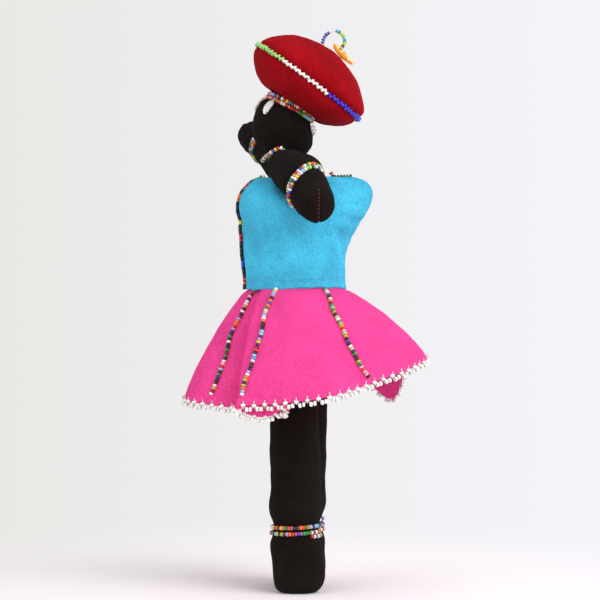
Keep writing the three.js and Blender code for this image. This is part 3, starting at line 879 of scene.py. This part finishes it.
def build_hat():
    """Crown and underside as one pouch, drawn in along the sewn rim."""
    middle, axis, rim = ring_frame("hat_rim_beads")
    seam_middle, seam_axis, _ = rim_plane()
    tree = node_tree("hat_crown_felt", "hat_underside_felt")
    across = Vector((1, 0, 0))
    over = axis.cross(across)
    back = over if over.y > 0 else -over
    turns = [2 * math.pi * j / HAT_COLUMNS for j in range(HAT_COLUMNS)]
    outs = [around(turn, across, over) for turn in turns]
    rays = []
    for i in range(HAT_ROWS):
        tilt = HAT_LOWEST + (math.pi / 2 - HAT_LOWEST) * i / (HAT_ROWS - 1)
        rays.append([(middle, around(tilt, out, axis)) for out in outs])
    reach = smoothed(distances(rays, tree), 5)
    points = skin_points(rays, reach - CLOTH_SWELL, ends=(-1,))
    simulated(points, lambda p: hill((p - seam_middle).dot(seam_axis), 0, 0.9))
    for i, row in enumerate(points[:-1]):
        for j, point in enumerate(row):
            direction = rays[i][j][1]
            height = (point - seam_middle).dot(seam_axis)
            seam = 0.5 * hill(abs(height), 5, 4) - 0.8 * hill(height, 0, 0.9)
            gather = 0.2 * hill(height, 0, 3.5) * math.sin(23 * turns[j] + 2 * math.sin(3 * turns[j]))
            behind = smooth_step((direction.dot(back) - 0.45) / 0.5)
            full = 2.3 * behind * hill(height, 1, 11)
            row[j] = point + direction * (seam + gather + full + uneven(point, HAT_LAYERS))
    piece = make_object("hat", *skin_mesh(points, open_start=True), felt["red"])
    finish_felt(piece, "head", "hat_crown_felt", "hat_underside_felt", "hat_stuffing")

    path = ring_path(seam_middle, seam_axis, rim, Vector((0.02, -1, 0)), 240)
    settled = rested(path, object_tree(piece), lambda p: seam_middle, BEAD_R * 0.6)
    for i, point in enumerate(settled):
        out = (point - seam_middle).normalized()
        settled[i] = point + out * BEAD_R * 0.8 * abs(out.dot(back)) ** 4
    places = []
    for i, (point, direction) in enumerate(spaced(settled, BEAD_LENGTH * 0.95)[:-1]):
        side = 1 if i % 2 else -1
        zigzag = point + seam_axis * (0.32 * side + rng.uniform(-0.25, 0.25))
        lean = direction + seam_axis * rng.uniform(0.2, 0.9) * side
        places.append((zigzag, lean.normalized(), RIM_COLOURS[i % len(RIM_COLOURS)]))
    make_beads("hat_rim_bead_string", places, "head", "hat_rim_beads", size=0.95)
    build_hat_ornaments()


def build_hat_ornaments():
    flower_axis = Vector(joint("flower_bead_spin")["axis"]).normalized()
    flower_at = pivot_of("flower_bead_spin")
    build_flower(flower_at + flower_axis * 0.5, (flower_axis + Vector((0.2, 0, 0))).normalized())

    corners = [Vector((4.0 * smooth_step((275.5 - z) / 5) if y > 15 else 0.0, y, z))
               for y, z in LOOP_SHAPE]  # its back end is sewn a little to the left
    spots = [spot for i, spot in enumerate(spaced(rounded(corners), BEAD_LENGTH)) if i not in LOOP_GAP]
    make_beads("hanging_loop_beads", coloured(spots, LOOP_COLOURS, "au"), "hanging_loop",
               "hat_hanging_loop", size=0.92)
    stitch = flower_at + flower_axis * 3.3
    make_beads("flower_stitch_bead", [(stitch, flower_axis, "a")], "head", "hat_flower_stitch", thread=None)
    strand = [flower_at - flower_axis * 0.6, stitch + flower_axis * 0.9]
    cylinder_curve([strand], 0.3, "flower_stitch_thread", clear_thread, "head")


def rounded(corners, steps=8):
    """A smooth line through corners."""
    line = []
    padded = [corners[0] * 2 - corners[1]] + corners + [corners[-1] * 2 - corners[-2]]
    for a, b, c, d in zip(padded, padded[1:], padded[2:], padded[3:]):
        for i in range(steps):
            t = i / steps
            line.append((b * 2 + (c - a) * t + (a * 2 - b * 5 + c * 4 - d) * t * t
                         + (b * 3 - a - c * 3 + d) * t ** 3) / 2)
    return line + [corners[-1]]


def build_flower(base, axis):
    """A moulded flower of five rounded petals round a hole, cupped, and thicker at the middle."""
    across = axis.orthogonal().normalized()
    over = axis.cross(across)
    rows, columns = 12, 100
    hole, reach, thick, cup = 1.3, 7.6, 1.9, 1.7
    points = []
    for side in (1, -1):
        for i in range(rows):
            share = i / (rows - 1)
            for j in range(columns):
                turn = 2 * math.pi * j / columns
                petal = reach * (0.62 + 0.38 * abs(math.cos(2.5 * turn)) ** 0.7)
                r = hole + (petal - hole) * math.sin(share * math.pi / 2)
                rim = math.sqrt(max(0.0, 1 - share ** 4))
                rib = 1 + 0.25 * math.cos(5 * turn) * share
                z = thick / 2 + side * thick / 2 * rim * rib + cup * (r / reach) ** 2
                points.append(base + around(turn, across, over) * r + axis * z)
    faces = grid_faces(rows, columns)
    low = rows * columns
    faces += [tuple(reversed(f)) for f in grid_faces(rows, columns, offset=low)]
    outer = (rows - 1) * columns
    for j in range(columns):
        k = (j + 1) % columns
        faces.append((j, low + j, low + k, k))
        faces.append((outer + j, outer + k, low + outer + k, low + outer + j))
    piece = make_object("flower_bead", points, faces, amber)
    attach(piece, "flower_bead")
    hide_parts("hat_flower_bead")


# ---- Torso -----------------------------------------------------------------------------------

FRONT_SEAM = "wgggkkrrrkkoookkkkkkkyykkkrrrkkkkkkkbbbkkkkxokkkk"
BACK_SEAM = "rkkkkggkk"
SEAM_TOP, SEAM_FOOT = 207.5, 150.8  # the heights between which the front seam's beads run


BODICE_MIDDLE_Y = -4.0
BODICE_SLIDE = 4.2  # how far the shoulders sit behind the waist
BODICE_SHOULDER_Z = 186.0
BODICE_STRAIGHT = 0.6  # the share of its rows below the shoulders
BODICE_ROWS, BODICE_COLUMNS = 84, 120
BODICE_HEM = ((2.4, 0.9), (1.5, -0.3), (0.6, -0.8))  # the waist's turned-in edge: inset and height
BODICE_LAYERS = ((15, 0.8), (5, 0.3), (1.4, 0.13))


def bodice_rays(floor_z):
    """Level rays from the waist to the shoulders, then rays that rise to the top."""
    outs = [around(2 * math.pi * j / BODICE_COLUMNS) for j in range(BODICE_COLUMNS)]
    rays = []
    for i in range(BODICE_ROWS):
        share = i / (BODICE_ROWS - 1)
        if share < BODICE_STRAIGHT:
            height = floor_z + (BODICE_SHOULDER_Z - floor_z) * share / BODICE_STRAIGHT
            slide = max(0.0, height - 172) / 14 * BODICE_SLIDE
            origin = Vector((0, BODICE_MIDDLE_Y + slide, height))
            rays.append([(origin, out) for out in outs])
        else:
            tilt = (share - BODICE_STRAIGHT) / (1 - BODICE_STRAIGHT) * math.pi / 2
            origin = Vector((0, BODICE_MIDDLE_Y + BODICE_SLIDE, BODICE_SHOULDER_Z))
            rays.append([(origin, around(tilt, out, UP)) for out in outs])
    return rays


def pressed_by_arms(rays, reach):
    """Draws the bodice in where an arm lies at rest, half lowered and fully lowered."""
    arms = []
    for side in ("left", "right"):
        lowest = joint(f"{side}_shoulder")["range_deg"][0]
        for angle in (0, lowest / 2, lowest):
            arms.append(node_tree(f"{side}_arm_felt", turn=joint_turn(f"{side}_shoulder", angle)))
    for i, row in enumerate(rays):
        for j, (origin, direction) in enumerate(row):
            for arm in arms:
                hit = arm.ray_cast(origin, direction, reach[i, j] + 3)
                if hit[0] is not None:
                    reach[i, j] = min(reach[i, j], max(hit[3] - 0.9, 12.0))
    reach = np.minimum(reach, smoothed(reach, 6) + 0.4)
    return smoothed(reach, 2)


def build_bodice():
    """One stuffed felt form, pressed in where the arms lie, open at the waist."""
    floor_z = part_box("bodice_left_panel")[0].z / MM + 0.1
    rays = bodice_rays(floor_z)
    tree = node_tree("bodice_left_panel", "bodice_right_panel")
    reach = pressed_by_arms(rays, smoothed(distances(rays, tree, 60, 14.0), 3))
    points = skin_points(rays, reach - CLOTH_SWELL, ends=(-1,))
    simulated(points, lambda p: max(hill(p.x, 0, 1.8), hill(p.z, floor_z, 3)))
    for i, row in enumerate(points):
        for j, point in enumerate(row):
            seam = 0.5 * hill(point.z, floor_z, 2.0) - 0.4 * hill(point.x, 0, 0.8)
            push = uneven(point, BODICE_LAYERS) + bodice_folds(point) + seam
            row[j] = point + rays[i][j][1] * push
    hem = []
    for inset, height in BODICE_HEM:
        hem.append([p - rays[0][j][1] * inset + UP * height for j, p in enumerate(points[0])])
    for row in (*hem, points[0], points[1]):
        for point in row:
            point.z += 0.5 * math.sin(2.2 * math.atan2(point.y, point.x) + 0.4) + uneven(point, ((6, 0.5),))
    draw_in(points, -1)
    piece = make_object("bodice", *skin_mesh(hem + points, open_start=True), felt["turquoise"])
    thicken(piece)
    finish_felt(piece, "torso", "bodice_left_panel", "bodice_right_panel", "torso_felt", "torso_stuffing")
    build_seam_beads(object_tree(piece))


def bodice_folds(point):
    """Soft creases: across the chest, under each arm, and below the shoulder blades; fuller at the back."""
    x, y, z = point
    chest = -0.7 * hill(z, 184.0, 2.6) * smooth_step((-y - 14) / 14)
    blade = -1.1 * hill(z + 0.22 * (y - 16), 186.0, 2.4) * smooth_step((y - 8) / 12) * min(1.0, abs(x) / 12)
    full = 1.3 * hill(z, 199.0, 6) * smooth_step((y - 22) / 8)
    side = 0.7 * hill(y - 0.5 * (z - 172), -8, 5) * hill(z, 172, 9)
    front = 0.9 * hill(z, 180.0, 14) * smooth_step((-y - 16) / 12)
    return chest + blade + full + side + front


def build_seam_beads(surface):
    """Beads along the front seam and the top of the back seam."""
    front = []
    for i in range(61):
        z = SEAM_TOP - (SEAM_TOP - SEAM_FOOT) * i / 60
        hit = surface.ray_cast(Vector((0, -60, z)), Vector((0, 1, 0)), 60)[0]
        if hit is not None and hit.y < -10:
            front.append(hit + Vector((0.35 * math.sin(i * 1.7), -BEAD_R, 0)))
    over = [surface.ray_cast(Vector((0, y, 230)), -UP, 60)[0] for y in (-20.8, -22.6)]
    front = [p + UP * BEAD_R * 0.75 for p in over if p is not None] + front
    make_beads("bodice_front_bead_string", coloured(spaced(front, BEAD_LENGTH), FRONT_SEAM, "krkb"),
               "torso", "bodice_front_beads", thread=dark_thread)
    back = []
    for i in range(21):
        hit = surface.ray_cast(Vector((0, 13.2 + 9.8 * i / 20, 240)), -UP, 60)[0]
        back.append(hit + UP * BEAD_R * (0.4 + 0.9 * max(0, 2 - i)))  # its first beads stand up
    make_beads("bodice_back_bead_string", coloured(spaced(back, BEAD_LENGTH), BACK_SEAM, "kgk"),
               "torso", "bodice_back_beads", thread=dark_thread)


def build_neck():
    """A rolled and gathered neck that spreads sideways to meet both arms."""
    low, high = cad_box("neck_felt_roll")
    y = (low.y + high.y) / 2
    floor_z = low.z + 4
    rows, columns = 40, 60
    points = []
    for i in range(rows):
        z = floor_z + (high.z - floor_z) * i / (rows - 1)
        spread = hill(z, 209.5, 3.6)
        for j in range(columns):
            turn = 2 * math.pi * j / columns
            gather = 0.28 * math.sin(9 * turn) + 0.14 * math.sin(17 * turn + 3)
            wide = 3.5 + 5.6 * spread + gather
            deep = 3.5 + 2.2 * spread + gather
            sag = -1.2 * spread * abs(math.cos(turn)) ** 3
            points.append(Vector((wide * math.cos(turn), y + deep * math.sin(turn), z + sag)))
    faces = grid_faces(rows, columns)
    faces.append(tuple(range(columns - 1, -1, -1)))
    faces.append(tuple((rows - 1) * columns + j for j in range(columns)))
    piece = make_object("neck", points, faces, felt["black"])
    finish_felt(piece, "torso", "neck_felt_roll")


NECKLACE = "LcgNwrpiowbyrwgN"


def build_necklace():
    """A loop round the neck that rests on both arms and dips in front and behind."""
    low, high = cad_box("necklace")
    middle_y = (low.y + high.y) / 2
    wide = (high.x - low.x) / 2 - BEAD_R - 0.4
    path = []
    for i in range(97):
        turn = 2 * math.pi * i / 96 - math.pi * 0.5
        behind = math.sin(turn) > 0
        deep = 10.5 if behind else 9.0
        dip = abs(math.sin(turn)) ** (1.0 if behind else 1.3)
        z = (high.z - BEAD_R) * (1 - dip) + (212.6 if behind else 215.0) * dip
        path.append(Vector((wide * math.cos(turn), middle_y + deep * math.sin(turn), z)))
    make_beads("necklace_beads", coloured(spaced(path, BEAD_LENGTH)[:-1], NECKLACE), "torso", "necklace")


# ---- Skirt -----------------------------------------------------------------------------------

WAIST = {"front": -29.7, "back": 21.2, "half": 28.0}
HEM = {"front": -62.4, "back": 60.6, "half": 54.0}
WAIST_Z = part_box("skirt_felt")[1].z / MM
TUCK = 1.8  # how far the skirt's top goes up inside the bodice
PLEAT_DEEP = math.radians(25)
SKIRT_ROWS, SKIRT_COLUMNS = 50, 360
FOLD = 26  # columns of the return fold, and of the under layer
LOOSE_TURN = 2.34  # where the hem hangs out in a loose fold at the back right, in radians
SKIRT_LAYERS = ((16, 1.3), (5, 0.35), (1.5, 0.14))
STRINGS = {"front": (-60, -51, 2), "side": (-23, -29.0, 0), "back": (33, 35.3, -8)}  # top, hem, bow
STRING_START, STRING_END = 0.005, 0.91  # as shares of the way from waist to hem


def hem_height(turn):
    """The hem dips beside the front, and rises at the very front and towards the back."""
    s, c = math.sin(turn), math.cos(turn)
    return 101.9 + 8.8 * s + 4.2 * max(0.0, s) ** 2 + 6 * max(0.0, -s) ** 4 - 5.2 * c * c


def skirt_place(turn, drop):
    """A place on the skirt's outside: turn 0 is +X, drop 0 the waist and 1 the hem."""
    def ring(oval):
        middle, deep = (oval["front"] + oval["back"]) / 2, (oval["back"] - oval["front"]) / 2
        return Vector((oval["half"] * math.cos(turn), middle + deep * math.sin(turn), 0))

    flare = drop * (1 + (0.41 + 0.15 * math.sin(turn)) * (1 - drop))
    ripple = 1.3 * drop * drop * math.sin(6 * turn + 0.6)
    point = ring(WAIST).lerp(ring(HEM), flare)
    point += around(turn) * ripple
    point.z = WAIST_Z + (hem_height(turn) - WAIST_Z) * drop
    return point


def pleat_edge(drop):
    """Where the near panel's free edge lies, from +X."""
    return math.radians(-32 - 11 * (1 - drop) ** 2)


def pleat_layer(j, edge, deep):
    """A column's angle, how far it lies under the top layer, and how far it sags at the hem."""
    if j < FOLD:  # the return fold, from the free edge back under the top layer
        t = j / FOLD
        layer = 2.8 * math.sin(min(1.0, 2.2 * t) * math.pi / 2) - 2.0 * max(0.0, 1 - 5 * t)
        return edge + deep * t, layer, 6.0 * math.sin(math.pi * min(1.0, t * 0.8 + 0.1))
    if j < 2 * FOLD:  # the under layer, back out past the free edge
        t = (j - FOLD) / FOLD
        layer = 2.8 + 7.2 * math.sin(math.pi / 2 * min(1.0, 3 * t))
        return edge + deep * (1 - t), layer, 6.0 * math.sin(math.pi * 0.9) + 3.0 * (1 - t)
    t = (j - 2 * FOLD) / (SKIRT_COLUMNS - 2 * FOLD)  # once round the body, to end on top
    near = max(0.0, 1 - t * 9)
    layer = 10.0 * near ** 1.5 - 2.0 * max(0.0, (t - 0.94) / 0.06) ** 2
    return edge - 2 * math.pi * t, layer, 1.8 * near


def pleated_skirt():
    """The points of one felt sheet that starts under its own free edge, in rows from waist to hem."""
    points = []
    for i in range(SKIRT_ROWS):
        above = max(0, 2 - i)  # the first rows go up inside the bodice
        drop = max(0, i - 2) / (SKIRT_ROWS - 3)
        deep = PLEAT_DEEP * (0.1 + 0.9 * drop ** 0.9)
        for j in range(SKIRT_COLUMNS):
            turn, layer, sag = pleat_layer(j, pleat_edge(drop), deep)
            place = skirt_place(turn, drop)
            inward = -around(turn)
            flute = drop ** 2 * (1.5 * math.sin(5 * turn + 1.1) + 0.9 * math.sin(9 * turn))
            tuck = 1.5 * (1 - min(1.0, drop / 0.07)) ** 2
            loose = hill(math.degrees(math.remainder(turn - LOOSE_TURN, 2 * math.pi)), 0, 10)
            place += inward * (layer * (0.4 + 0.6 * drop) - flute * 0.6 + tuck - 3.0 * loose * drop ** 3)
            place.z -= drop ** 3 * (sag + 15.0 * loose + 4.6 * max(0.0, -math.sin(turn)) ** 8)
            place -= inward * (uneven(place, SKIRT_LAYERS) * (0.2 + 0.8 * drop))
            points.append(place + inward * (0.4 * above) + UP * (TUCK * above / 2))
    return points


def build_skirt_piece():
    points = pleated_skirt()
    piece = make_object("skirt", points, grid_faces(SKIRT_ROWS, SKIRT_COLUMNS), felt["pink"])
    thicken(piece)
    finish_felt(piece, "torso", "skirt_felt")
    hem = points[-SKIRT_COLUMNS:]
    build_picot(hem + hem[:1])
    build_strings(object_tree(piece))


PICOT_PERIOD = 5.35
PICOT_UNIT = ((0.0, 0.15), (0.33, -1.75), (0.67, -1.75))  # share of the period, and height by the edge


def build_picot(hem):
    """The white bead edging: one bead standing on the edge, then two hanging below it."""
    spots = spaced(hem, PICOT_PERIOD)
    places = []
    for (a, direction), (b, _) in zip(spots, spots[1:]):
        for share, height in PICOT_UNIT:
            centre = a.lerp(b, share) + UP * (height + rng.uniform(-0.25, 0.25))
            axis = direction.copy() if height < 0 else UP + direction * rng.uniform(-0.3, 0.3)
            places.append((centre, axis.normalized(), "w"))
    make_beads("skirt_picot_beads", places, "torso", "skirt_hem_picot", size=1.1)
    stitches = []
    for point, _ in spots[:-1]:
        stitches.append([point + UP * 2.3, point + UP * 0.2, point - UP * 1.2])
    cylinder_curve(stitches, 0.3, "skirt_picot_stitches", clear_thread, "torso")


STRING_COLOURS = {
    "front": "qrRPNwwukwkRiooriNkgkwkkgRgkwPrLkgNkkwu",
    "side": "wyLikovogceLwokkkLmNiyNRxkLSwdnkiwolkloLw",
    "back": "gPwskcuRgpgukpwslurPpukvkwpNgddlgPxPP",
}


def build_strings(surface):
    """Three strings of beads on each side, from the waist to just above the hem."""
    for place, (top, bottom, bow) in STRINGS.items():
        for side in ("left", "right"):
            wander = rng.uniform(0, 6)
            path = []
            for i in range(61):
                drop = STRING_START + (STRING_END - STRING_START) * i / 60
                turn = math.radians(top + (bottom - top) * drop ** 0.7 + bow * math.sin(math.pi * drop))
                waver = 1.3 * math.sin(9 * drop + wander) + 0.6 * math.sin(21 * drop + 2 * wander)
                turn += math.radians(waver * (1 - 0.7 * drop))
                if side == "right":
                    turn = math.pi - turn
                spot = skirt_place(turn, drop)
                out = (around(turn) + UP * 0.35).normalized()
                hit = surface.ray_cast(spot + out * 25, -out, 40)[0]
                path.append((spot if hit is None else hit) + out * BEAD_R * 0.8)
            places = coloured(spaced(path, BEAD_LENGTH), STRING_COLOURS[place])
            make_beads(f"skirt_{place}_{side}_beads", places, "torso", f"skirt_string_{place}_{side}",
                       thread=dark_thread)


# ---- Stage -----------------------------------------------------------------------------------


def window_glow(n):
    """The studio's pale surround as the camera sees it, painted: warmer at the left, and brighter at the
    right with painted light from the key's side.
    """
    place = n.add("ShaderNodeTexCoord").outputs["Window"]
    across = n.add("ShaderNodeSeparateXYZ", {"Vector": place}).outputs["X"]
    return n.ramp(across, [(0.0, linear("#eae8e5")), (1.0, linear("#f5f4fa"))])


def build_stage():
    """A pale floor that fades into a plain surround, soft light and the camera."""
    n = new_material("stage_paper")
    n.look({"Base Color": linear("#f4f0f0"), "Roughness": 0.9, "Specular IOR Level": 0.0})
    glow = n.add("ShaderNodeEmission", {"Color": window_glow(n), "Strength": 1.0}).outputs["Emission"]
    place = n.add("ShaderNodeTexCoord").outputs["Object"]
    distance = n.add("ShaderNodeVectorMath", {0: place}, operation="LENGTH").outputs["Value"]
    fade = n.add("ShaderNodeMapRange", {"Value": distance, "From Min": 0.05, "From Max": 0.3},
                 interpolation_type="SMOOTHSTEP").outputs["Result"]
    mixed = n.add("ShaderNodeMixShader", {0: fade, 1: n.shader.outputs["BSDF"], 2: glow}).outputs["Shader"]
    n.feed(n.tree.nodes["Material Output"], "Surface", mixed)
    bpy.ops.mesh.primitive_plane_add(size=6, location=(0, 0, -0.0002))
    ground = bpy.context.object
    ground.name = "floor"
    ground.data.materials.append(n.owner)

    world = bpy.data.worlds.new("studio")
    bpy.context.scene.world = world
    w = Nodes(world)
    lit = w.add("ShaderNodeBackground", {"Color": linear("#eeedf2"), "Strength": 0.9}).outputs["Background"]
    seen = w.add("ShaderNodeBackground", {"Color": window_glow(w), "Strength": 1.0}).outputs["Background"]
    camera_ray = w.add("ShaderNodeLightPath").outputs["Is Camera Ray"]
    both = w.add("ShaderNodeMixShader", {0: camera_ray, 1: lit, 2: seen}).outputs["Shader"]
    w.feed(w.tree.nodes["World Output"], "Surface", both)

    def area(name, place, size, power, colour):
        data = bpy.data.lights.new(name, "AREA")
        data.size = size
        data.energy = power
        data.color = colour
        lamp = bpy.data.objects.new(name, data)
        lamp.location = place
        aim = Vector((0, 0, 0.15)) - Vector(place)
        lamp.rotation_euler = aim.to_track_quat("-Z", "Y").to_euler()
        bpy.context.scene.collection.objects.link(lamp)

    area("key", (0.8, 0.95, 0.9), 1.1, 17, (1.0, 0.985, 0.98))
    area("fill", (0.9, -1.1, 0.7), 1.2, 5, (0.95, 0.97, 1.0))

    camera_data = bpy.data.cameras.new("camera")
    camera = bpy.data.objects.new("camera", camera_data)
    bpy.context.scene.collection.objects.link(camera)
    distance, picture_width = 0.95, 0.302
    camera_data.sensor_width = 36
    camera_data.lens = 36 * distance / picture_width
    camera.location = (distance, -0.0025, 0.1447)
    camera.rotation_euler = Vector((-1, 0, 0)).to_track_quat("-Z", "Y").to_euler()
    bpy.context.scene.camera = camera
    bpy.context.scene.view_settings.view_transform = "Standard"


for side in ("left", "right"):
    build_leg(side)
    build_arm(side)
build_head()
build_hat()
build_bodice()
build_neck()
build_necklace()
build_skirt_piece()
build_stage()
